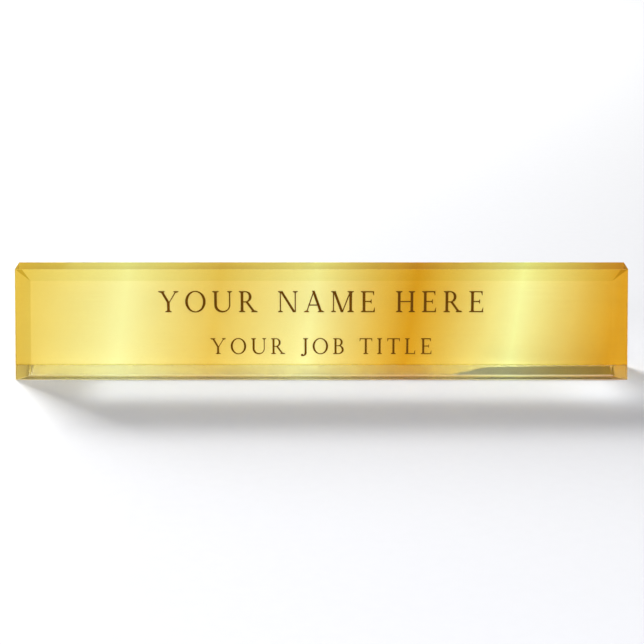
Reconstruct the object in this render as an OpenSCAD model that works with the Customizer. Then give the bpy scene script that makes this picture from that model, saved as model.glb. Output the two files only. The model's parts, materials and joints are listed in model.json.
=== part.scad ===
// Free-standing desk nameplate: a clear acrylic block that leans back, with its print on the rear face.
// X runs along the block, the front looks towards -Y, and Z points up from the desk.

/* [Block] */
// Length of the block along the desk
block_w = 216; // [180:1:300]
// Height of the block
block_h = 38; // [34:1:50]
// Depth at the desk, before the bevels are cut
base_depth = 20; // [17:0.5:30]
// Angle by which the front face leans back from upright
front_lean = 14; // [5:0.5:16]

/* [Bevels] */
// Angle of the top and end bevels, measured from the front face
bevel_angle = 13; // [8:0.5:20]
// Angle of the bottom bevel, measured from the front face
bottom_angle = 36; // [20:1:50]
// Width of the bevels at the left and right ends
side_bevel = 5.7; // [2:0.1:8]
// Width of the bevel along the top
top_bevel = 3.8; // [1.5:0.1:5]
// Width of the bevel along the bottom
bottom_bevel = 2.1; // [0.8:0.1:3]
// Slope of the facet on each top mitre, as a multiple of the mitre's own slope
facet_slope = 1.12; // [1.02:0.01:1.3]

/* [Print] */
// Thickness of the printed film on the rear face
film_t = 0.3; // [0.2:0.05:0.6]
// Thickness of the ink of the two lines
ink_t = 0.1; // [0.05:0.05:0.2]
// Margin between the film's edge and the edge of the rear face
film_margin = 0.05; // [0.05:0.05:1]

/* [Lettering] */
// Height of the capitals in the upper line
name_cap = 7.8; // [5:0.1:9]
// Height of the upper line's baseline above the desk
name_base = 19.7; // [18:0.1:22]
// Height of the capitals in the lower line
title_cap = 5.9; // [4:0.1:8]
// Height of the lower line's baseline above the desk
title_base = 4.1; // [3:0.1:8]
// Gap between letters, as a share of the capitals' height
letter_gap = 0.27; // [0.15:0.01:0.4]
// Gap between words, as a share of the capitals' height
word_gap = 0.62; // [0.4:0.01:0.9]

/* [Hidden] */
$fn = 64;

NAME_WORDS = "YOUR NAME HERE";
TITLE_WORDS = "YOUR JOB TITLE";

// The film and the ink sit behind the block. The bottom bevel takes the foremost edge off it,
// and the whole part is then centred on Y = 0.
bevel_setback = bottom_bevel * sin(front_lean);
part_depth = base_depth + ink_t + film_t - bevel_setback;
front_y = -part_depth / 2 - bevel_setback;
rear_y = front_y + base_depth;
front_len = block_h / cos(front_lean);
top_front_y = front_y + block_h * tan(front_lean);
far = 2 * block_w;

// Proportions of the capitals, as shares of their height
thick = 0.125;
thin = 0.055;
serif_out = 0.085;
serif_t = 0.035;
bracket = 0.045;
beak_root = 0.09;
beak_tip = 0.02;
overshoot = 0.015;
arc_steps = 40;

// Local axes of the leaning front face: X along it, Y into the block, Z up the face from its lower edge.
module on_front() {
    translate([0, front_y, 0]) rotate([-front_lean, 0, 0]) children();
}

// Everything in front of a plane that stands on the local X-Z plane.
module in_front_of_plane() {
    translate([-far, -far, -far]) cube([2 * far, far, 2 * far]);
}

module wedge() {
    profile = [
        [front_y, 0],
        [rear_y, 0],
        [rear_y, block_h],
        [top_front_y, block_h]
    ];
    rotate([90, 0, 90])
        translate([0, 0, -block_w / 2])
            linear_extrude(block_w) polygon(profile);
}

module top_bevel_cut() {
    translate([0, 0, front_len - top_bevel]) rotate([-bevel_angle, 0, 0]) in_front_of_plane();
}

module bottom_bevel_cut() {
    translate([0, 0, bottom_bevel]) rotate([bottom_angle, 0, 0]) in_front_of_plane();
}

module right_bevel_cut() {
    translate([block_w / 2 - side_bevel, 0, 0]) rotate([0, 0, bevel_angle]) in_front_of_plane();
}

// A narrow facet along the mitre of the top and right bevels
module right_facet_cut() {
    mitre_slope = tan(bevel_angle) / sqrt(2);
    translate([block_w / 2 - side_bevel, 0, front_len - top_bevel])
        rotate([0, -45, 0])
            rotate([0, 0, atan(mitre_slope * facet_slope)])
                in_front_of_plane();
}

module right_end_cuts() {
    right_bevel_cut();
    right_facet_cut();
}

module acrylic_block() {
    color("lightcyan", 0.5)
        difference() {
            wedge();
            on_front() {
                top_bevel_cut();
                bottom_bevel_cut();
                right_end_cuts();
                mirror([1, 0, 0]) right_end_cuts();
            }
        }
}

module gold_film() {
    color("gold")
        translate([-block_w / 2 + film_margin, rear_y + ink_t, film_margin])
            cube([block_w - 2 * film_margin, film_t, block_h - 2 * film_margin]);
}

function ellipse(rx, ry) = [for (i = [0:arc_steps - 1]) [rx * cos(i * 360 / arc_steps), ry * sin(i * 360 / arc_steps)]];

// A flat shape given the ink's thickness. $ink is that thickness as a share of the capitals' height.
module inked() {
    linear_extrude($ink) children();
}

// Lower end of a stroke of width w that starts at x, with its serif
module foot(x, w) {
    inked() polygon([
        [x - serif_out, 0],
        [x + w + serif_out, 0],
        [x + w + serif_out, serif_t],
        [x + w, serif_t + bracket],
        [x, serif_t + bracket],
        [x - serif_out, serif_t]
    ]);
}

module head(x, w) {
    translate([0, 1, 0]) mirror([0, 1, 0]) foot(x, w);
}

module bar(x, w, low, high) {
    inked() translate([x, low]) square([w, high - low]);
}

module post(x, w) {
    bar(x, w, 0, 1);
    foot(x, w);
    head(x, w);
}

// Slanted stroke of horizontal width w, from its left edge at (x0, y0) to (x1, y1)
module slant(x0, y0, x1, y1, w) {
    inked() polygon([[x0, y0], [x0 + w, y0], [x1 + w, y1], [x1, y1]]);
}

// Thin arm from x to x_end at height y, which ends in a tapered beak that points up or down
module arm(x, x_end, y, beak) {
    bar(x, x_end - x, y, y + thin);
    y_root = beak > 0 ? y : y + thin;
    tip = y_root + beak;
    inked() polygon([[x_end, y_root], [x_end - beak_root, y_root], [x_end - beak_tip, tip], [x_end, tip]]);
}

// Half ring to the right of x: the bowl of B and R
module bowl(x, rx, low, high) {
    ry = (high - low) / 2;
    inked() translate([x, low + ry])
        difference() {
            polygon(ellipse(rx, ry));
            polygon(ellipse(rx - thick, ry - thin));
            translate([-2 * rx, -1]) square([2 * rx, 2]);
        }
}

module letter_a() {
    slant(0.1, 0, 0.43, 1, thin);
    slant(0.72, 0, 0.37, 1.02, thick);
    bar(0.2, 0.5, 0.31, 0.31 + thin);
    foot(0.1, thin);
    foot(0.72, thick);
}

module letter_b() {
    post(0.1, thick);
    bar(0.2, 0.14, 1 - thin, 1);
    bar(0.2, 0.16, 0.5, 0.5 + thin);
    bar(0.2, 0.16, 0, thin);
    bowl(0.33, 0.27, 0.5, 1);
    bowl(0.35, 0.31, 0, 0.5 + thin);
}

module letter_e() {
    post(0.1, thick);
    arm(0.2, 0.62, 1 - thin, -0.2);
    arm(0.2, 0.51, 0.48, -0.13);
    arm(0.2, 0.51, 0.48, 0.13);
    arm(0.2, 0.66, 0, 0.22);
}

module letter_h() {
    post(0.1, thick);
    post(0.68, thick);
    bar(0.2, 0.5, 0.48, 0.48 + thin);
}

module letter_i() {
    post(0.1, thick);
}

module letter_j() {
    bar(0.26, thick, 0.12, 1);
    head(0.26, thick);
    inked() translate([0.16, 0.12])
        difference() {
            polygon(ellipse(0.235, 0.25));
            translate([-0.03, 0]) polygon(ellipse(0.13, 0.2));
            translate([-1, 0]) square([2, 1]);
            translate([-1.02, -1]) square([1, 2]);
        }
    inked() translate([0.11, -0.06]) circle(0.075);
}

module letter_l() {
    post(0.1, thick);
    arm(0.2, 0.64, 0, 0.24);
}

module letter_m() {
    bar(0.1, thin, 0, 1);
    foot(0.1, thin);
    head(0.1, thin);
    slant(0.46, 0, 0.1, 1, thick);
    slant(0.5, 0, 0.88, 1, thin);
    post(0.85, thick);
}

module letter_n() {
    bar(0.1, thin, 0, 1);
    foot(0.1, thin);
    head(0.1, thin);
    slant(0.7, 0, 0.1, 1, thick);
    bar(0.78, thin, 0, 1);
    head(0.78, thin);
}

module letter_o() {
    inked() translate([0.49, 0.5])
        difference() {
            polygon(ellipse(0.47, 0.5 + overshoot));
            polygon(ellipse(0.47 - thick, 0.5 + overshoot - thin));
        }
}

module letter_r() {
    post(0.1, thick);
    bar(0.2, 0.13, 1 - thin, 1);
    bar(0.2, 0.14, 0.46, 0.46 + thin);
    bowl(0.32, 0.28, 0.46, 1);
    slant(0.66, 0, 0.32, 0.48, thick);
    foot(0.66, thick);
}

module letter_t() {
    post(0.33, thick);
    bar(0.05, 0.7, 1 - thin, 1);
    arm(0.5, 0.78, 1 - thin, -0.2);
    translate([0.795, 0, 0]) mirror([1, 0, 0]) arm(0.5, 0.78, 1 - thin, -0.2);
}

module letter_u() {
    left = 0.1;
    right = 0.78;
    outer = (right + thin - left) / 2;
    inner = (right - left - thick) / 2;
    bar(left, thick, 0.34, 1);
    bar(right, thin, 0.34, 1);
    head(left, thick);
    head(right, thin);
    inked() difference() {
        translate([left + outer, 0.34]) polygon(ellipse(outer, 0.34 + overshoot));
        translate([left + thick + inner, 0.34]) polygon(ellipse(inner, 0.34 + overshoot - 1.4 * thin));
        translate([0, 0.34]) square([1, 1]);
    }
}

module letter_y() {
    bar(0.4, thick, 0, 0.48);
    foot(0.4, thick);
    slant(0.4, 0.45, 0.09, 1, thick);
    slant(0.47, 0.45, 0.79, 1, thin);
    head(0.09, thick);
    head(0.79, thin);
}

module letter(c) {
    if (c == "A") letter_a();
    if (c == "B") letter_b();
    if (c == "E") letter_e();
    if (c == "H") letter_h();
    if (c == "I") letter_i();
    if (c == "J") letter_j();
    if (c == "L") letter_l();
    if (c == "M") letter_m();
    if (c == "N") letter_n();
    if (c == "O") letter_o();
    if (c == "R") letter_r();
    if (c == "T") letter_t();
    if (c == "U") letter_u();
    if (c == "Y") letter_y();
}

// Letters and the share of the capitals' height that each takes along the line
WIDTHS = [
    ["A", 0.96], ["B", 0.72], ["E", 0.72], ["H", 0.92], ["I", 0.34], ["J", 0.46], ["L", 0.7],
    ["M", 1.09], ["N", 0.93], ["O", 0.98], ["R", 0.9], ["T", 0.8], ["U", 0.94], ["Y", 0.94]
];

function advance(c) = c == " " ? word_gap : WIDTHS[search([c], WIDTHS)[0]][1] + letter_gap;
function start(words, i) = i == 0 ? 0 : start(words, i - 1) + advance(words[i - 1]);
function line_len(words) = start(words, len(words)) - letter_gap;

module ink_line(words, cap, base_z) {
    $ink = ink_t / cap;
    translate([0, rear_y + ink_t, base_z])
        rotate([90, 0, 0])
            scale(cap)
                translate([-line_len(words) / 2, 0, 0])
                    for (i = [0:len(words) - 1])
                        translate([start(words, i), 0, 0]) letter(words[i]);
}

module name_line() {
    color("saddlebrown") ink_line(NAME_WORDS, name_cap, name_base);
}

module title_line() {
    color("saddlebrown") ink_line(TITLE_WORDS, title_cap, title_base);
}

acrylic_block();
gold_film();
name_line();
title_line();
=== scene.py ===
import json
import math

import bpy
from mathutils import Color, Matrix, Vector

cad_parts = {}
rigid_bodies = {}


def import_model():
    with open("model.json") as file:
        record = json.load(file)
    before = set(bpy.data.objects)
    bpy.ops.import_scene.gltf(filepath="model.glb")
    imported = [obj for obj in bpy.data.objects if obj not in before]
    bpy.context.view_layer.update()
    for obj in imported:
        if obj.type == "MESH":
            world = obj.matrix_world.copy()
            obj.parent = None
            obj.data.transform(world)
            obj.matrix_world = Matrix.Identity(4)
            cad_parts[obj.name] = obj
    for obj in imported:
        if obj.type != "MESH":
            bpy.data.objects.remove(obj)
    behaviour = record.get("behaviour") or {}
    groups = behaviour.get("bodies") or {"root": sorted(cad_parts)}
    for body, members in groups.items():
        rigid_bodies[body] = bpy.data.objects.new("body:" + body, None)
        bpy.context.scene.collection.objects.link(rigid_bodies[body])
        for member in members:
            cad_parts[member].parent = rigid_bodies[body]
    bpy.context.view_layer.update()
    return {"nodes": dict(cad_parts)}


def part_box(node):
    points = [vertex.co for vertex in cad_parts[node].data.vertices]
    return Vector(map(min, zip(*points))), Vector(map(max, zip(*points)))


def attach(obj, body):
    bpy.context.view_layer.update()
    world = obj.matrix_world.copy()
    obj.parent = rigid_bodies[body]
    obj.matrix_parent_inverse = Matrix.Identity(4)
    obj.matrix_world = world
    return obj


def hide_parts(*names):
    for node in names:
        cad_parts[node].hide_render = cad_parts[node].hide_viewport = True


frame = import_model()

# All sizes are in metres. X runs along the block, the front looks towards -Y, Z is up.
MM = 0.001

# The block's driving sizes, as in the construction
FRONT_LEAN = math.radians(14)
BEVEL_ANGLE = math.radians(13)
BOTTOM_ANGLE = math.radians(36)
SIDE_BEVEL = 5.7 * MM
TOP_BEVEL = 3.8 * MM
BOTTOM_BEVEL = 2.1 * MM
# The facet on each upper mitre is this many times as steep as the mitre itself
FACET_SLOPE = 1.12
FACET_ANGLE = math.atan(FACET_SLOPE * math.tan(BEVEL_ANGLE) / math.sqrt(2))
# The block's rear face lies this far behind the ink's front, so that print and block meet without an air gap
BOND_DEPTH = 0.12 * MM
# Radius that polishing leaves on the two lower front edges, and the share of it that the other edges keep
EDGE_RADIUS = 0.45 * MM
EDGE_SEGMENTS = 2
FINE_EDGE = 0.2
# Points nearer to each other than this are one
TOUCH = 0.01 * MM
# The base rests on the desk beyond this distance on the left, and inside these corners on the right; there it
# takes a painted shade
CONTACT_LEFT = -103.3 * MM
CONTACT_CORNERS = [(45.3, -3), (58.9, 6.8), (84.8, 8), (103.4, 8.1), (103.4, -3)]
CONTACT_PATCH = [Vector((x, y, 0)) * MM for x, y in CONTACT_CORNERS]
CONTACT_SIDES = list(zip(CONTACT_PATCH, CONTACT_PATCH[1:] + CONTACT_PATCH[:1]))

BLOCK_LOW, BLOCK_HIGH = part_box("acrylic_block")
_, FILM_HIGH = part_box("gold_film")
BLOCK_REAR = BLOCK_HIGH.y + BOND_DEPTH

# The front plane of the block: the way it faces, the way up along it, and where it would meet the desk
FRONT_OUT = Vector((0, -math.cos(FRONT_LEAN), math.sin(FRONT_LEAN)))
FRONT_UP = Vector((0, math.sin(FRONT_LEAN), math.cos(FRONT_LEAN)))
FRONT_FOOT = Vector((0, BLOCK_LOW.y - BOTTOM_BEVEL * math.sin(FRONT_LEAN), 0))
# Where the top and bottom bevels start on it
UPPER_CORNER = FRONT_FOOT + FRONT_UP * (BLOCK_HIGH.z / math.cos(FRONT_LEAN) - TOP_BEVEL)
LOWER_CORNER = FRONT_FOOT + FRONT_UP * BOTTOM_BEVEL

# How closely a face's normal has to follow a direction, as a cosine, to be one of the faces that lie that way
SQUARE_ON = 0.99
NEARLY_FLAT = 0.997
FLAT = 0.9999
LOWER_HALF = 0.6
# The sideways part of a normal, below which a face runs along the block
ALONG = 0.01


def deselect():
    if bpy.context.object and bpy.context.object.mode != "OBJECT":
        bpy.ops.object.mode_set(mode="OBJECT")
    bpy.ops.object.select_all(action="DESELECT")


def place_in_mesh(obj, name):
    """Moves the object's place into its mesh and names both."""
    bpy.ops.object.transform_apply(location=True, rotation=True, scale=True)
    obj.name = name
    obj.data.name = name
    return obj


# Block

def leaned(toward, angle):
    """The way the front faces, leaned by an angle towards a direction that lies along the front."""
    return FRONT_OUT * math.cos(angle) + toward * math.sin(angle)


# The ways that the ends and the bevels face, the left one first
ENDS_OUT = [Vector((-1, 0, 0)), Vector((1, 0, 0))]
SIDE_BEVELS_OUT = [leaned(end, BEVEL_ANGLE) for end in ENDS_OUT]
FACETS_OUT = [leaned((end + FRONT_UP).normalized(), FACET_ANGLE) for end in ENDS_OUT]
TOP_BEVEL_OUT = leaned(FRONT_UP, BEVEL_ANGLE)
LOWER_BEVEL_OUT = leaned(-FRONT_UP, BOTTOM_ANGLE)


def cut_away(point, normal):
    """Cuts the selected solid by a plane, closes it and removes the side that the normal points to."""
    bpy.ops.mesh.select_all(action="SELECT")
    bpy.ops.mesh.bisect(plane_co=point, plane_no=normal, use_fill=True, clear_outer=True)


def round_edges(block):
    """Rounds the edges as polishing does. Those at the print, and the bevels' shallow ones, stay crisp."""
    vertices = block.data.vertices
    weights = block.data.attributes.new("bevel_weight_edge", "FLOAT", "EDGE").data
    for edge in block.data.edges:
        ends = [vertices[v].co for v in edge.vertices]
        on_rear = all(end.y > BLOCK_REAR - BOND_DEPTH for end in ends)
        above = [end - UPPER_CORNER for end in ends if end.z > UPPER_CORNER.z - MM]
        on_bevel = any(step.dot(FRONT_OUT) > -TOUCH for step in above)
        if on_rear or on_bevel:
            continue
        lower = all(end.y < 0 and end.z < 2 * BOTTOM_BEVEL for end in ends)
        along = abs(ends[0].x - ends[1].x) > BLOCK_HIGH.x
        weights[edge.index].value = 1 if lower and along else FINE_EDGE
    rounding = block.modifiers.new("rounding", "BEVEL")
    rounding.limit_method = "WEIGHT"
    rounding.width = EDGE_RADIUS
    rounding.segments = EDGE_SEGMENTS
    bpy.ops.object.modifier_apply(modifier="rounding")


def split_base(block, point, normal):
    """Divides the block's base along a line, so that each side can have its own finish."""
    for face in block.data.polygons:
        face.select = face.normal.z < -SQUARE_ON
    bpy.ops.object.mode_set(mode="EDIT")
    bpy.ops.mesh.bisect(plane_co=point, plane_no=normal)
    bpy.ops.mesh.select_all(action="DESELECT")
    bpy.ops.object.mode_set(mode="OBJECT")


def touches_desk(place):
    in_patch = all((end - start).cross(place - start).z < 0 for start, end in CONTACT_SIDES)
    return in_patch or place.x < CONTACT_LEFT


def place_of(face):
    """The name of the place on the block that a face belongs to."""
    facing = face.normal
    if facing.z < -SQUARE_ON:
        return "resting base" if touches_desk(face.center) else "base"
    if facing.z > SQUARE_ON:
        return "top"
    if facing.y > SQUARE_ON:
        return "rear"
    if facing.dot(TOP_BEVEL_OUT) > FLAT:
        return "top bevel"
    if facing.dot(SIDE_BEVELS_OUT[0]) > FLAT:
        return "left bevel"
    if facing.dot(LOWER_BEVEL_OUT) > FLAT:
        return "lower bevel"
    if max(facing.dot(facet_out) for facet_out in FACETS_OUT) > NEARLY_FLAT:
        return "corner"
    off_front = facing.dot(FRONT_OUT) < FLAT
    if abs(facing.x) < ALONG and off_front and facing.dot(LOWER_BEVEL_OUT) > LOWER_HALF:
        return "lower edge"
    return "front and ends"


def make_block():
    middle = Vector((0, (FRONT_FOOT.y + BLOCK_REAR) / 2, BLOCK_HIGH.z / 2))
    size = Vector((2 * BLOCK_HIGH.x, BLOCK_REAR - FRONT_FOOT.y, BLOCK_HIGH.z))
    bpy.ops.mesh.primitive_cube_add(size=1, location=middle, scale=size)
    block = place_in_mesh(bpy.context.object, "polished_block")
    bpy.ops.object.mode_set(mode="EDIT")
    cut_away(FRONT_FOOT, FRONT_OUT)
    cut_away(UPPER_CORNER, TOP_BEVEL_OUT)
    cut_away(LOWER_CORNER, LOWER_BEVEL_OUT)
    for end, bevel_out, facet_out in zip(ENDS_OUT, SIDE_BEVELS_OUT, FACETS_OUT):
        shoulder = end * (BLOCK_HIGH.x - SIDE_BEVEL)
        cut_away(FRONT_FOOT + shoulder, bevel_out)
        cut_away(UPPER_CORNER + shoulder, facet_out)
    bpy.ops.mesh.select_all(action="SELECT")
    bpy.ops.mesh.remove_doubles(threshold=TOUCH)
    bpy.ops.mesh.normals_make_consistent(inside=False)
    bpy.ops.mesh.select_all(action="DESELECT")
    bpy.ops.mesh.select_mode(type="FACE")
    bpy.ops.object.mode_set(mode="OBJECT")
    round_edges(block)
    split_base(block, Vector((CONTACT_LEFT, 0, 0)), Vector((1, 0, 0)))
    for start, end in CONTACT_SIDES:
        split_base(block, start, (end - start).cross(Vector((0, 0, 1))).normalized())

    finishes = block_finishes()
    places = list(finishes)
    for finish in finishes.values():
        block.data.materials.append(finish)
    for face in block.data.polygons:
        face.material_index = places.index(place_of(face))
    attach(block, "root")
    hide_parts("acrylic_block")


# Materials

def new_material(name):
    material = bpy.data.materials.new(name)
    material.use_nodes = True
    tree = material.node_tree
    return material, tree, tree.nodes["Principled BSDF"]


def wear(obj, material):
    obj.data.materials.clear()
    obj.data.materials.append(material)


def screen_parts(colour):
    """A colour given from 0 to 255, as parts of 1."""
    return [part / 255 for part in colour]


def linear(red, green, blue):
    """A colour given as on a screen, 0 to 255, in the linear values that shaders take."""
    return Color(screen_parts((red, green, blue))).from_srgb_to_scene_linear()


# Nodes

def feed(tree, value, socket):
    """Gives an input its value: a link from another node, a number or a colour."""
    if isinstance(value, bpy.types.NodeSocket):
        tree.links.new(value, socket)
    elif socket.type == "RGBA":
        socket.default_value = (*value, 1)
    else:
        socket.default_value = value


def calc(tree, operation, *values):
    node = tree.nodes.new("ShaderNodeMath")
    node.operation = operation
    for value, socket in zip(values, node.inputs):
        feed(tree, value, socket)
    return node.outputs[0]


def fade(tree, value, start, end, low=0, high=1):
    """Low at start and before, high at end and beyond, smooth between."""
    node = tree.nodes.new("ShaderNodeMapRange")
    node.interpolation_type = "SMOOTHSTEP"
    titles = ("Value", "From Min", "From Max", "To Min", "To Max")
    for title, number in zip(titles, (value, start, end, low, high)):
        feed(tree, number, node.inputs[title])
    return node.outputs["Result"]


def split(tree, place):
    node = tree.nodes.new("ShaderNodeSeparateXYZ")
    feed(tree, place, node.inputs[0])
    return node.outputs


def noise(tree, place, scale, detail):
    node = tree.nodes.new("ShaderNodeTexNoise")
    feed(tree, place, node.inputs["Vector"])
    feed(tree, scale, node.inputs["Scale"])
    feed(tree, detail, node.inputs["Detail"])
    return node.outputs["Fac"]


def colour_ramp(tree, value, stops):
    """A ramp from stops of place and colour; the value is in the units of the places."""
    first, last = stops[0][0], stops[-1][0]
    across = tree.nodes.new("ShaderNodeMapRange")
    for title, number in zip(("Value", "From Min", "From Max"), (value, first, last)):
        feed(tree, number, across.inputs[title])
    node = tree.nodes.new("ShaderNodeValToRGB")
    elements = node.color_ramp.elements
    elements.remove(elements[1])
    for number, (place, colour) in enumerate(stops):
        position = (place - first) / (last - first)
        element = elements[0] if number == 0 else elements.new(position)
        element.position = position
        element.color = (*colour, 1)
    feed(tree, across.outputs["Result"], node.inputs["Fac"])
    return node.outputs["Color"]


def blend(tree, mask, first, second, kind="MIX"):
    """The first colour where the mask is 0, and the second where it is 1, or with MULTIPLY their product."""
    node = tree.nodes.new("ShaderNodeMix")
    node.data_type = "RGBA"
    node.blend_type = kind
    for title, value in (("Factor_Float", mask), ("A_Color", first), ("B_Color", second)):
        feed(tree, value, next(socket for socket in node.inputs if socket.identifier == title))
    return next(socket for socket in node.outputs if socket.identifier == "Result_Color")


def shade(tree, colour, *layers):
    """The colour, multiplied in turn by the shade of each layer as far as the layer's mask says."""
    for mask, layer_shade in layers:
        colour = blend(tree, mask, colour, layer_shade, "MULTIPLY")
    return colour


def roughen(tree, roughness, *marks):
    """The roughness, raised by each mask times its share."""
    for mask, share in marks:
        roughness = calc(tree, "MULTIPLY_ADD", mask, share, roughness)
    return roughness


def bump(tree, height, depth, shader):
    """Raises the surface by the height, from 0 to 1, times a depth in metres."""
    node = tree.nodes.new("ShaderNodeBump")
    node.inputs["Distance"].default_value = depth
    feed(tree, height, node.inputs["Height"])
    tree.links.new(node.outputs["Normal"], shader.inputs["Normal"])


def object_place(tree):
    return tree.nodes.new("ShaderNodeTexCoord").outputs["Object"]


# Effects that several materials share, each a node group. Positions and sizes are in metres.

# Noise lies around this value
NOISE_MIDDLE = 0.5
MOTTLE_DETAIL = 3
HAIRLINE_DETAIL = 1
RUN_DETAIL = 2
# Bundles of hairlines per metre, and the noise values where a bundle starts and is full
BUNDLES = 45
BUNDLE_START = 0.45
BUNDLE_FULL = 0.6
# The noise values where a rubbed run starts and is full
RUN_START = 0.4
RUN_FULL = 0.65


def new_group(name, inputs, output, kind):
    group = bpy.data.node_groups.new(name, "ShaderNodeTree")
    group.interface.new_socket("Position", in_out="INPUT", socket_type="NodeSocketVector")
    for title, value in inputs.items():
        socket = group.interface.new_socket(title, in_out="INPUT", socket_type="NodeSocketFloat")
        socket.default_value = value
    group.interface.new_socket(output, in_out="OUTPUT", socket_type=kind)
    return group, group.nodes.new("NodeGroupInput").outputs, group.nodes.new("NodeGroupOutput").inputs[output]


def place_group(tree, group, place, **values):
    node = tree.nodes.new("ShaderNodeGroup")
    node.node_tree = group
    feed(tree, place, node.inputs["Position"])
    for title, value in values.items():
        feed(tree, value, node.inputs[title])
    return node.outputs[0]


def make_mottle():
    """Cloudy patches, as handling leaves on a polished face or damp in a print."""
    group, given, result = new_group("mottle", {"Size": 10 * MM, "Softness": 0.2}, "Mask", "NodeSocketFloat")
    clouds = noise(group, given["Position"], calc(group, "DIVIDE", 1, given["Size"]), MOTTLE_DETAIL)
    low = calc(group, "SUBTRACT", NOISE_MIDDLE, given["Softness"])
    high = calc(group, "ADD", NOISE_MIDDLE, given["Softness"])
    feed(group, fade(group, clouds, low, high), result)
    return group


def make_hairlines():
    """Fine lines side by side, in bundles that come and go, turned about the axis from front to rear."""
    inputs = {"Length": 40 * MM, "Spacing": MM, "Turn": 0.0, "Width": 0.05}
    group, given, result = new_group("hairlines", inputs, "Mask", "NodeSocketFloat")
    turned = group.nodes.new("ShaderNodeVectorRotate")
    turned.rotation_type = "Y_AXIS"
    feed(group, given["Position"], turned.inputs["Vector"])
    feed(group, given["Turn"], turned.inputs["Angle"])
    cell = group.nodes.new("ShaderNodeCombineXYZ")
    for axis, size in (("X", "Length"), ("Y", "Spacing"), ("Z", "Spacing")):
        feed(group, given[size], cell.inputs[axis])
    drawn = group.nodes.new("ShaderNodeVectorMath")
    drawn.operation = "DIVIDE"
    feed(group, turned.outputs[0], drawn.inputs[0])
    feed(group, cell.outputs[0], drawn.inputs[1])
    grain = noise(group, drawn.outputs[0], 1, HAIRLINE_DETAIL)
    off_line = calc(group, "ABSOLUTE", calc(group, "SUBTRACT", grain, NOISE_MIDDLE))
    line = fade(group, off_line, given["Width"], 0)
    bundles = noise(group, given["Position"], BUNDLES, HAIRLINE_DETAIL)
    feed(group, calc(group, "MULTIPLY", line, fade(group, bundles, BUNDLE_START, BUNDLE_FULL)), result)
    return group


def make_edge_wear():
    """Rubbed places along the block's outer edges, within about a width of them and broken into runs."""
    inputs = {"Width": 0.5 * MM, "Run": 3 * MM}
    group, given, result = new_group("edge_wear", inputs, "Mask", "NodeSocketFloat")
    axes = split(group, given["Position"])
    forward = group.nodes.new("ShaderNodeVectorMath")
    forward.operation = "DOT_PRODUCT"
    feed(group, given["Position"], forward.inputs[0])
    forward.inputs[1].default_value = -FRONT_OUT
    front = calc(group, "ADD", forward.outputs["Value"], FRONT_FOOT.dot(FRONT_OUT))
    # The depths below the outer faces: at an edge the two smallest are both 0
    ends = calc(group, "SUBTRACT", BLOCK_HIGH.x, calc(group, "ABSOLUTE", axes["X"]))
    top = calc(group, "SUBTRACT", BLOCK_HIGH.z, axes["Z"])
    rear = calc(group, "SUBTRACT", BLOCK_HIGH.y, axes["Y"])
    least, second = ends, calc(group, "ADD", ends, BLOCK_HIGH.x)
    for depth in (top, axes["Z"], rear, front):
        second = calc(group, "MINIMUM", second, calc(group, "MAXIMUM", least, depth))
        least = calc(group, "MINIMUM", least, depth)
    near = fade(group, second, given["Width"], 0)
    runs = noise(group, given["Position"], calc(group, "DIVIDE", 1, given["Run"]), RUN_DETAIL)
    feed(group, calc(group, "MULTIPLY", near, fade(group, runs, RUN_START, RUN_FULL)), result)
    return group


# The print's waves of pale and deep gold: distance from the middle in millimetres, and the colour there.
# They blend as on a screen, so the ramp holds screen values and a Gamma node makes them linear.
GOLD_WAVES = [
    (-108, (229, 200, 94)),
    (-71, (242, 239, 163)),
    (-37.8, (224, 190, 88)),
    (-3.5, (242, 237, 159)),
    (32.3, (210, 153, 36)),
    (70, (248, 251, 168)),
    (105, (213, 157, 43)),
]
SCREEN_GAMMA = 2.2
# How far the waves move to the right for each metre up
WAVE_LEAN = 0.14
# Painted shade: the print is a little darker from half its height to its foot
PAINTED_FOOT_SHADE = (0.94, 0.935, 0.93)


def make_gold_waves():
    group, given, result = new_group("gold_waves", {"Lean": 0.0}, "Color", "NodeSocketColor")
    axes = split(group, given["Position"])
    level = calc(group, "SUBTRACT", axes["Z"], BLOCK_HIGH.z / 2)
    across = calc(group, "SUBTRACT", axes["X"], calc(group, "MULTIPLY", level, given["Lean"]))
    stops = [(millimetres * MM, screen_parts(colour)) for millimetres, colour in GOLD_WAVES]
    gamma = group.nodes.new("ShaderNodeGamma")
    gamma.inputs["Gamma"].default_value = SCREEN_GAMMA
    feed(group, colour_ramp(group, across, stops), gamma.inputs["Color"])
    # The lower half takes a painted shade towards the foot
    low = fade(group, axes["Z"], BLOCK_HIGH.z / 2, 0)
    feed(group, shade(group, gamma.outputs["Color"], (low, PAINTED_FOOT_SHADE)), result)
    return group


MOTTLE = make_mottle()
HAIRLINES = make_hairlines()
EDGE_WEAR = make_edge_wear()
WAVES = make_gold_waves()

# Acrylic: the marks on it, how far they dull the polish, and how far smudges take the tint down
ACRYLIC_IOR = 1.49
SMUDGES = {"Size": 14 * MM, "Softness": 0.15}
SCRATCHES = {"Length": 30 * MM, "Spacing": 1.6 * MM, "Turn": 0.5, "Width": 0.02}
RUBBED_EDGES = {"Width": 0.45 * MM, "Run": 2.5 * MM}
SMUDGE_SHADE = (0.97, 0.97, 0.96)
SMUDGE_ROUGHNESS = 0.03
SCRATCH_ROUGHNESS = 0.1
WEAR_ROUGHNESS = 0.2
MARK_DEPTH = 0.0006 * MM

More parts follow.
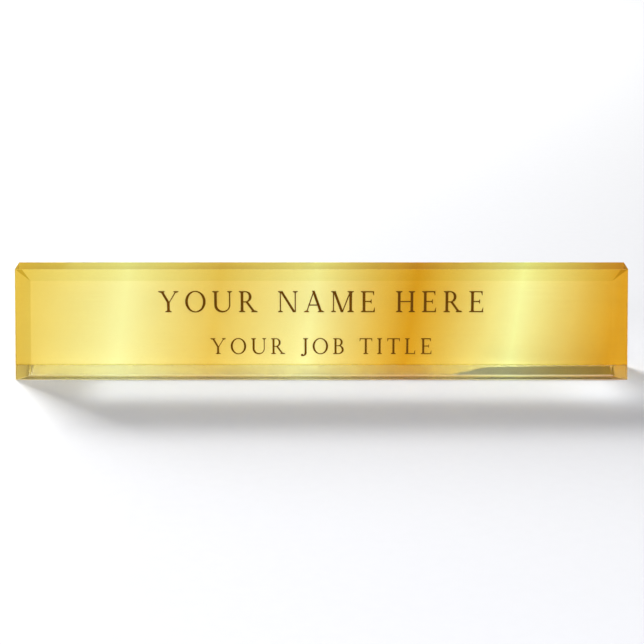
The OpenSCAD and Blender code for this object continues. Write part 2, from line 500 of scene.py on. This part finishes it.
# The plain finishes of the block, by place: the material's name, its tint and its roughness. Every tint but
# the clear one is painted shade, on the bevels, the corner facets and the scuffed base.
CLEAR = (1, 1, 1)
PLAIN_FINISHES = {
    "front and ends": ("polished_acrylic", CLEAR, 0),
    "top bevel": ("top_bevel_acrylic", (0.87, 0.88, 0.7), 0),
    "left bevel": ("left_bevel_acrylic", (0.79, 0.705, 0.41), 0),
    "lower bevel": ("lower_bevel_acrylic", (0.26, 0.255, 0.19), 0),
    "corner": ("corner_acrylic", (0.48, 0.36, 0.06), 0),
    "base": ("scuffed_base_acrylic", (0.58, 0.8, 0.96), 0.5),
}

# The top face bends light a little less than the others. Its tint is painted shade: it takes the print's
# colour up to a share, and is darker along its front and near its ends.
TOP_IOR = 1.4
TOP_PAINTED_TINT = (0.954, 0.98, 0.6)
TOP_PAINTED_PRINT_SHARE = 0.35
TOP_FRONT = 4.3 * MM
TOP_FRONT_FADE = 0.4 * MM
TOP_FRONT_PAINTED_SHADE = (0.94, 0.89, 0.85)
TOP_MIDDLE = 3 * MM
TOP_END = 91 * MM
TOP_END_FADE = 5 * MM
TOP_END_PAINTED_SHADE = (0.96, 0.84, 0.5)

# Painted highlight: the rounded lower edges take the print's colour with a pale share, and let less light
# through
EDGE_ROUGHNESS = 0.1
EDGE_CLARITY = 0.3
EDGE_PAINTED_HIGHLIGHT = 0.78
EDGE_RUBBED = {"Width": MM, "Run": 2 * MM}
EDGE_RUBBED_PALE = 0.1

# Where the base rests on the desk no air lies between them, so nothing bends the light there.
# Its tint is painted shade, standing in for the desk's shade seen through the block: distance from the middle
# in millimetres, and the tint there.
NO_BEND = 1
RESTING_PAINTED_SHADES = [
    (-108, (0.74, 0.585, 0.14)),
    (-103.9, (0.74, 0.585, 0.14)),
    (-103.8, (0.3, 0.24, 0.07)),
    (45, (0.4, 0.4, 0.2)),
    (65, (0.36, 0.38, 0.185)),
    (84, (0.32, 0.25, 0.045)),
    (104, (0.33, 0.18, 0.006)),
]


def acrylic_material(name, tint, roughness):
    """Clear acrylic: faint smudges, fine scratches and rubbed edges over a polish of the given roughness."""
    material, tree, shader = new_material(name)
    place = object_place(tree)
    smudges = place_group(tree, MOTTLE, place, **SMUDGES)
    scratches = place_group(tree, HAIRLINES, place, **SCRATCHES)
    worn = place_group(tree, EDGE_WEAR, place, **RUBBED_EDGES)
    feed(tree, shade(tree, tint, (smudges, SMUDGE_SHADE)), shader.inputs["Base Color"])
    marks = ((smudges, SMUDGE_ROUGHNESS), (scratches, SCRATCH_ROUGHNESS), (worn, WEAR_ROUGHNESS))
    feed(tree, roughen(tree, roughness, *marks), shader.inputs["Roughness"])
    bump(tree, calc(tree, "ADD", scratches, worn), -MARK_DEPTH, shader)
    shader.inputs["Transmission Weight"].default_value = 1
    shader.inputs["IOR"].default_value = ACRYLIC_IOR
    return material, tree, shader


def top_material():
    material, tree, shader = acrylic_material("top_acrylic", TOP_PAINTED_TINT, 0)
    shader.inputs["IOR"].default_value = TOP_IOR
    place = object_place(tree)
    axes = split(tree, place)
    waves = place_group(tree, WAVES, place, Lean=WAVE_LEAN)
    front = fade(tree, axes["Y"], TOP_FRONT + TOP_FRONT_FADE, TOP_FRONT)
    off_middle = calc(tree, "ABSOLUTE", calc(tree, "SUBTRACT", axes["X"], TOP_MIDDLE))
    end = fade(tree, off_middle, TOP_END, TOP_END + TOP_END_FADE)
    base_color = shader.inputs["Base Color"]
    tint = base_color.links[0].from_socket
    # Painted shade in the tint: the print's colour up to a share, darker along the front and near the ends
    layers = ((TOP_PAINTED_PRINT_SHARE, waves), (front, TOP_FRONT_PAINTED_SHADE), (end, TOP_END_PAINTED_SHADE))
    feed(tree, shade(tree, tint, *layers), base_color)
    return material


def lower_edge_material():
    material, tree, shader = acrylic_material("glowing_edge_acrylic", CLEAR, EDGE_ROUGHNESS)
    shader.inputs["Transmission Weight"].default_value = EDGE_CLARITY
    place = object_place(tree)
    waves = place_group(tree, WAVES, place, Lean=WAVE_LEAN)
    worn = place_group(tree, EDGE_WEAR, place, **EDGE_RUBBED)
    # The pale share is painted highlight, raised further on places rubbed by wear
    pale = calc(tree, "MULTIPLY_ADD", worn, EDGE_RUBBED_PALE, 1 - EDGE_PAINTED_HIGHLIGHT)
    feed(tree, blend(tree, pale, waves, CLEAR), shader.inputs["Base Color"])
    return material


def resting_base_material():
    material, tree, shader = acrylic_material("resting_base_acrylic", CLEAR, 0)
    shader.inputs["IOR"].default_value = NO_BEND
    axes = split(tree, object_place(tree))
    stops = [(millimetres * MM, tint) for millimetres, tint in RESTING_PAINTED_SHADES]
    # The tint along the base is painted shade of the desk seen through it
    feed(tree, colour_ramp(tree, axes["X"], stops), shader.inputs["Base Color"])
    return material


def block_finishes():
    """The block's finishes, by the place that each is on."""
    finishes = {place: acrylic_material(*values)[0] for place, values in PLAIN_FINISHES.items()}
    finishes["rear"] = gold_material("printed_rear_face")
    finishes["top"] = top_material()
    finishes["lower edge"] = lower_edge_material()
    finishes["resting base"] = resting_base_material()
    return finishes


# The print: its grain, its faint lines, and the deeper shade that both bring up to a share
PRINT_GRAIN = {"Size": 0.6 * MM, "Softness": 0.3}
PRINT_LINES = {"Length": 60 * MM, "Spacing": 0.8 * MM, "Turn": 0, "Width": 0.12}
DEEP_GOLD = (0.93, 0.88, 0.8)
GRAIN_SHARE = 0.5
LINE_SHARE = 0.15
PRINT_ROUGHNESS = 0.4
GRAIN_ROUGHNESS = 0.1
GRAIN_DEPTH = 0.004 * MM
# Painted shadow: the thin darker line along the print's foot, where it meets the base
FOOT_SHADOW_LINE = (0.78, 0.72, 0.5)
FOOT_SHADOW_HEIGHT = 0.6 * MM
FOOT_SHADOW_FULL = 0.15 * MM

# The film's pale back, its cloudy patches and scuffs, and the depth from the back that they reach
FILM_BACK = linear(180, 177, 170)
BACK_PATCHES = {"Size": 9 * MM, "Softness": 0.2}
BACK_SCUFFS = {"Length": 40 * MM, "Spacing": 2.5 * MM, "Turn": -0.3, "Width": 0.012}
PATCH_SHARE = 0.3
SCUFFED_BACK = (0.86, 0.86, 0.85)
BACK_SKIN = 0.03 * MM
BACK_GLOSS = 0.35
SCUFF_DULLS = 0.2
BACK_COAT_ROUGHNESS = 0.3


def gold_material(name):
    """Gold print with a fine grain, faint lines along it and a painted shadow along its foot; the film's rear
    side is its plain pale back.
    """
    material, tree, shader = new_material(name)
    place = object_place(tree)
    axes = split(tree, place)
    waves = place_group(tree, WAVES, place, Lean=WAVE_LEAN)
    grain = place_group(tree, MOTTLE, place, **PRINT_GRAIN)
    lines = place_group(tree, HAIRLINES, place, **PRINT_LINES)
    grain_mask = calc(tree, "MULTIPLY", grain, GRAIN_SHARE)
    line_mask = calc(tree, "MULTIPLY", lines, LINE_SHARE)
    # Painted shadow along the print's foot
    foot = fade(tree, axes["Z"], FOOT_SHADOW_HEIGHT, FOOT_SHADOW_FULL)
    printed = shade(tree, waves, (grain_mask, DEEP_GOLD), (line_mask, DEEP_GOLD), (foot, FOOT_SHADOW_LINE))
    patches = place_group(tree, MOTTLE, place, **BACK_PATCHES)
    scuffs = place_group(tree, HAIRLINES, place, **BACK_SCUFFS)
    marks = calc(tree, "MAXIMUM", calc(tree, "MULTIPLY", patches, PATCH_SHARE), scuffs)
    back = shade(tree, FILM_BACK, (marks, SCUFFED_BACK))
    behind = fade(tree, axes["Y"], FILM_HIGH.y - BACK_SKIN, FILM_HIGH.y - BACK_SKIN / 2)
    feed(tree, blend(tree, behind, printed, back), shader.inputs["Base Color"])
    feed(tree, roughen(tree, PRINT_ROUGHNESS, (grain, GRAIN_ROUGHNESS)), shader.inputs["Roughness"])
    gloss = calc(tree, "SUBTRACT", BACK_GLOSS, calc(tree, "MULTIPLY", marks, SCUFF_DULLS))
    feed(tree, calc(tree, "MULTIPLY", behind, gloss), shader.inputs["Coat Weight"])
    shader.inputs["Coat Roughness"].default_value = BACK_COAT_ROUGHNESS
    shader.inputs["Specular IOR Level"].default_value = 0
    bump(tree, calc(tree, "ADD", grain, lines), GRAIN_DEPTH, shader)
    return material


# The ink: its colour, and the thinner spots in it
INK = linear(99, 62, 12)
INK_GRAIN = {"Size": 0.5 * MM, "Softness": 0.25}
INK_PATCHES = {"Size": 5 * MM, "Softness": 0.2}
THIN_INK = (1.2, 1.15, 1.1)
THIN_SHARE = 0.4
INK_ROUGHNESS = 0.5
INK_GRAIN_ROUGHNESS = 0.15


def ink_material():
    material, tree, shader = new_material("brown_ink")
    place = object_place(tree)
    grain = place_group(tree, MOTTLE, place, **INK_GRAIN)
    patches = place_group(tree, MOTTLE, place, **INK_PATCHES)
    thin = calc(tree, "MULTIPLY", calc(tree, "ADD", grain, patches), THIN_SHARE)
    feed(tree, shade(tree, INK, (thin, THIN_INK)), shader.inputs["Base Color"])
    feed(tree, roughen(tree, INK_ROUGHNESS, (grain, INK_GRAIN_ROUGHNESS)), shader.inputs["Roughness"])
    shader.inputs["Specular IOR Level"].default_value = 0
    bump(tree, grain, GRAIN_DEPTH, shader)
    return material


# The pale floor, which lies a little below the base
FLOOR = (0.67, 0.674, 0.682)
FLOOR_GRAIN = {"Size": 4 * MM, "Softness": 0.25}
FLOOR_SHADE = (0.99, 0.99, 0.99)
FLOOR_ROUGHNESS = 0.87
FLOOR_GRAIN_ROUGHNESS = 0.05
FLOOR_SIDE = 6
FLOOR_GAP = 0.02 * MM


def floor_material():
    material, tree, shader = new_material("white_floor")
    grain = place_group(tree, MOTTLE, object_place(tree), **FLOOR_GRAIN)
    feed(tree, shade(tree, FLOOR, (grain, FLOOR_SHADE)), shader.inputs["Base Color"])
    feed(tree, roughen(tree, FLOOR_ROUGHNESS, (grain, FLOOR_GRAIN_ROUGHNESS)), shader.inputs["Roughness"])
    return material


def make_floor():
    bpy.ops.mesh.primitive_plane_add(size=FLOOR_SIDE, location=(0, 0, -FLOOR_GAP))
    floor = place_in_mesh(bpy.context.object, "floor")
    wear(floor, floor_material())


# Light and camera

WORLD_LIGHT = 0.06
WHITE = (1, 1, 1)
# Soft boxes that look at the block: azimuth from the front and elevation in degrees, distance, width and
# height in metres, power in watts
BACK_LAMPS = {
    "key": (212, 28, 2.0, 0.62, 0.26, 47),
    "back_box": (212, 19, 2.0, 0.8, 0.4, 29),
}
FRONT_LAMPS = {
    "front_strip": (0, 25, 1.0, 0.7, 0.16, 5.9),
    "top_box": (0, 68, 1.2, 1.6, 0.6, 6.0),
}
# The light that the block throws on the desk along its front, as narrow beams straight down:
# place in millimetres, width and depth in metres, spread in degrees, power in watts
GLOW_LAMPS = {
    "glow": ((12, -14, 250), (0.184, 0.034), 5, 0.0104),
    "corner_glow": ((104, -22, 300), (0.03, 0.012), 9, 0.0009),
}
# A little blue, against the gold that the print adds to the light on the desk
FRONT_TINT = (0.985, 0.985, 1.04)
GLOW_TINT = (0.9, 0.95, 1)
CLEAR_PIECES = ("polished_block", "acrylic_block")

# The camera, as fitted to the edges of the block in the photograph
IMAGE_SIDE = 644
FOCAL_PIXELS = 1810
SENSOR = 36
CAMERA_DISTANCE = 642 * MM
CAMERA_ELEVATION = math.radians(16.62)
CAMERA_AIM = Vector((0.2, -0.45, 18.81)) * MM
CAMERA_NEAREST = 10 * MM

# Light crosses the clear block several times before it comes out
TRANSMISSION_BOUNCES = 24
ALL_BOUNCES = 32


def away(azimuth, elevation):
    """The direction that lies at an azimuth from the front and an elevation, both in radians."""
    level = math.cos(elevation)
    return Vector((math.sin(azimuth) * level, -math.cos(azimuth) * level, math.sin(elevation)))


def looking_back(direction):
    """The turn that makes a lamp or a camera look back along the direction."""
    return (-direction).to_track_quat("-Z", "Y").to_euler()


def add_lamp(name, place, turn, size, power):
    bpy.ops.object.light_add(type="AREA", location=place, rotation=turn)
    lamp = bpy.context.object
    lamp.name = name
    lamp.data.shape = "RECTANGLE"
    lamp.data.size, lamp.data.size_y = size
    lamp.data.energy = power
    lamp.visible_transmission = False
    return lamp


def add_soft_box(name, azimuth, elevation, distance, width, height, power):
    direction = away(math.radians(azimuth), math.radians(elevation))
    return add_lamp(name, direction * distance, looking_back(direction), (width, height), power)


def make_lights():
    world = bpy.data.worlds.new("studio")
    bpy.context.scene.world = world
    world.use_nodes = True
    background = world.node_tree.nodes["Background"]
    background.inputs["Color"].default_value = (*WHITE, 1)
    background.inputs["Strength"].default_value = WORLD_LIGHT
    world.cycles.sampling_method = "NONE"
    for name, values in BACK_LAMPS.items():
        add_soft_box(name, *values)
    # The front lamps light the print straight through the clear block, which is left out of what stops them
    stops_light = bpy.data.collections.new("stops_light")
    for piece in bpy.data.objects:
        if piece.type == "MESH" and piece.name not in CLEAR_PIECES:
            stops_light.objects.link(piece)
    for name, values in FRONT_LAMPS.items():
        lamp = add_soft_box(name, *values)
        lamp.light_linking.blocker_collection = stops_light
        lamp.data.color = FRONT_TINT
    for name, (place, size, spread, power) in GLOW_LAMPS.items():
        glow = add_lamp(name, Vector(place) * MM, (0, 0, 0), size, power)
        glow.data.spread = math.radians(spread)
        glow.data.color = GLOW_TINT


def make_camera():
    back = away(0, CAMERA_ELEVATION)
    place = CAMERA_AIM + back * CAMERA_DISTANCE
    bpy.ops.object.camera_add(location=place, rotation=looking_back(back))
    camera = bpy.context.object
    camera.data.sensor_width = SENSOR
    camera.data.lens = SENSOR * FOCAL_PIXELS / IMAGE_SIDE
    camera.data.clip_start = CAMERA_NEAREST
    bpy.context.scene.camera = camera


deselect()
make_block()
wear(frame["nodes"]["gold_film"], gold_material("gold_print"))
ink = ink_material()
for line in ("name_line", "title_line"):
    wear(frame["nodes"][line], ink)
make_floor()
make_lights()
make_camera()

scene = bpy.context.scene
scene.view_settings.view_transform = "Standard"
scene.cycles.use_denoising = True
scene.cycles.use_light_tree = False
scene.cycles.transmission_bounces = TRANSMISSION_BOUNCES
scene.cycles.max_bounces = ALL_BOUNCES
